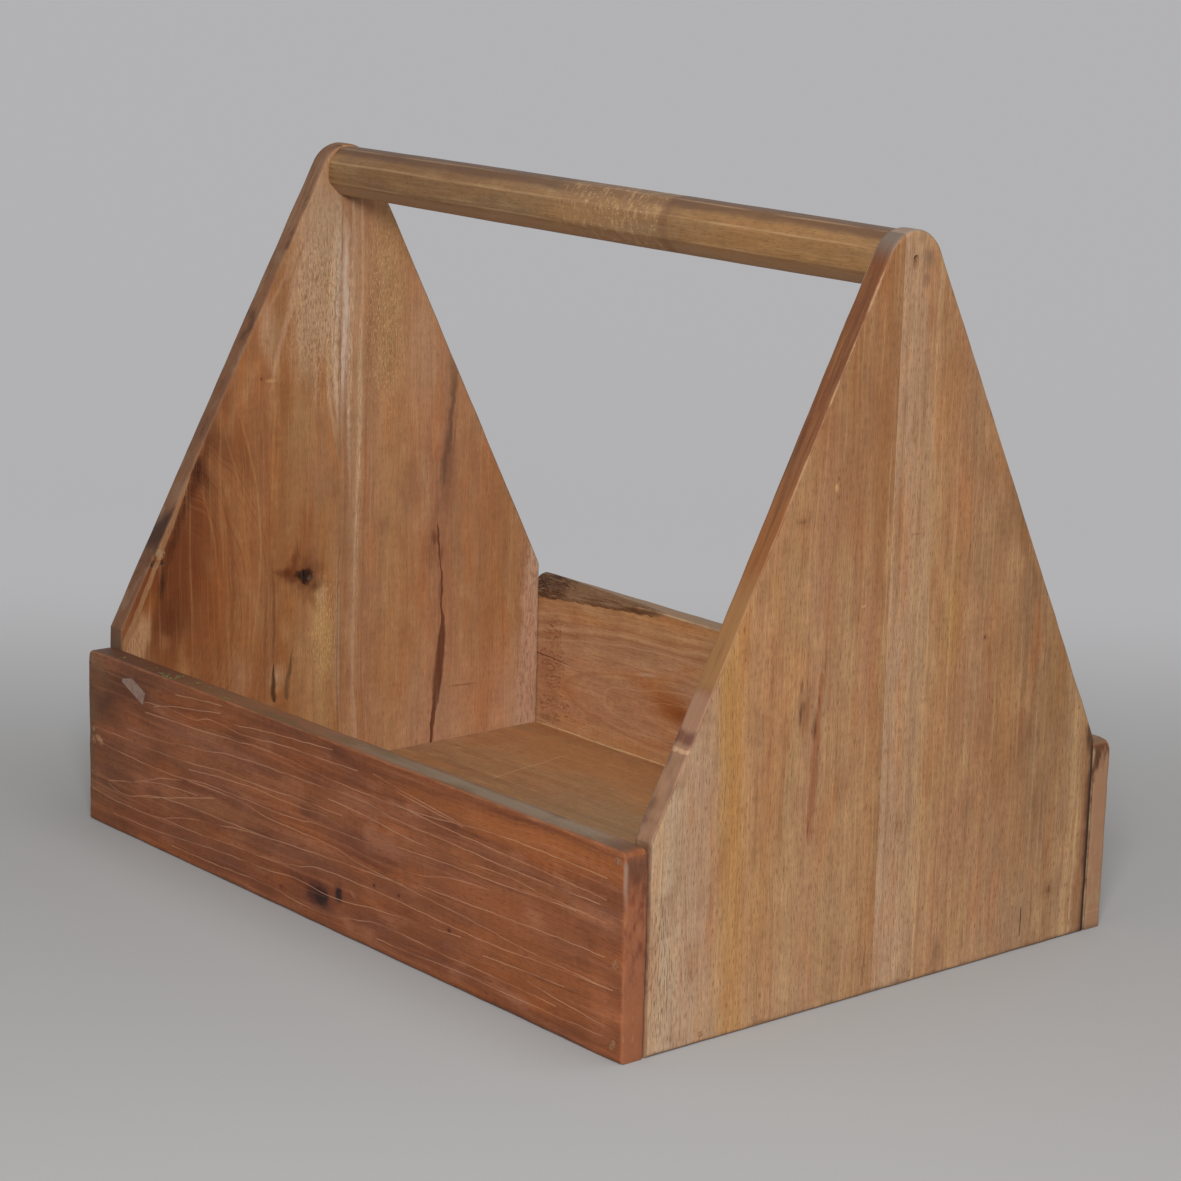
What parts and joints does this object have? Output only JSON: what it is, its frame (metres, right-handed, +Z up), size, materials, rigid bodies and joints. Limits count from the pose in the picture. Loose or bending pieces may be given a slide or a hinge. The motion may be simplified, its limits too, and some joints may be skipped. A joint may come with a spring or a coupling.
{
  "type": "wooden toolbox",
  "caption": "Open carpenter's tote: house-shaped gable ends nailed between two side boards, a plank floor and a hand-planed bar handle between the gables' apexes.",
  "frame": {"origin": "bottom of the tote, under the middle of its bounding box", "axes": "+X along the handle and the side boards; +Y from the front board to the rear board; +Z up"},
  "size_m": [0.54, 0.383, 0.4345],
  "materials": {
    "gable_wood_left_front": "planed tropical hardwood, reddish tan with a dark knot, waxed",
    "gable_wood_left_rear": "planed tropical hardwood, tan, waxed",
    "gable_wood_right_front": "planed tropical hardwood, tan with pale sapwood, waxed",
    "gable_wood_right_rear": "planed tropical hardwood, tan with a pale band, waxed",
    "front_board_wood": "planed tropical hardwood, red-brown, worn and scratched",
    "rear_board_wood": "planed tropical hardwood, red-tan, with a strip of wane",
    "floor_wood": "planed tropical hardwood, greyed olive-brown",
    "handle_wood": "hand-planed hardwood, olive-brown, rubbed smooth",
    "nail_steel": "drawn steel wire, dull",
    "wood_putty": "pale wood putty, matt"
  },
  "bodies": {
    "root": {"left_gable_front_stave": "gable_wood_left_front", "left_gable_rear_stave": "gable_wood_left_rear", "right_gable_front_stave": "gable_wood_right_front", "right_gable_rear_stave": "gable_wood_right_rear", "front_board": "front_board_wood", "rear_board": "rear_board_wood", "floor_front_plank": "floor_wood", "floor_middle_plank": "floor_wood", "floor_rear_plank": "floor_wood", "handle": "handle_wood", "front_board_nails": "nail_steel", "rear_board_nails": "nail_steel", "floor_nails": "nail_steel", "handle_nails": "nail_steel", "front_board_putty": "wood_putty", "rear_board_putty": "wood_putty", "floor_nail_putty": "wood_putty"}
  },
  "joints": []
}
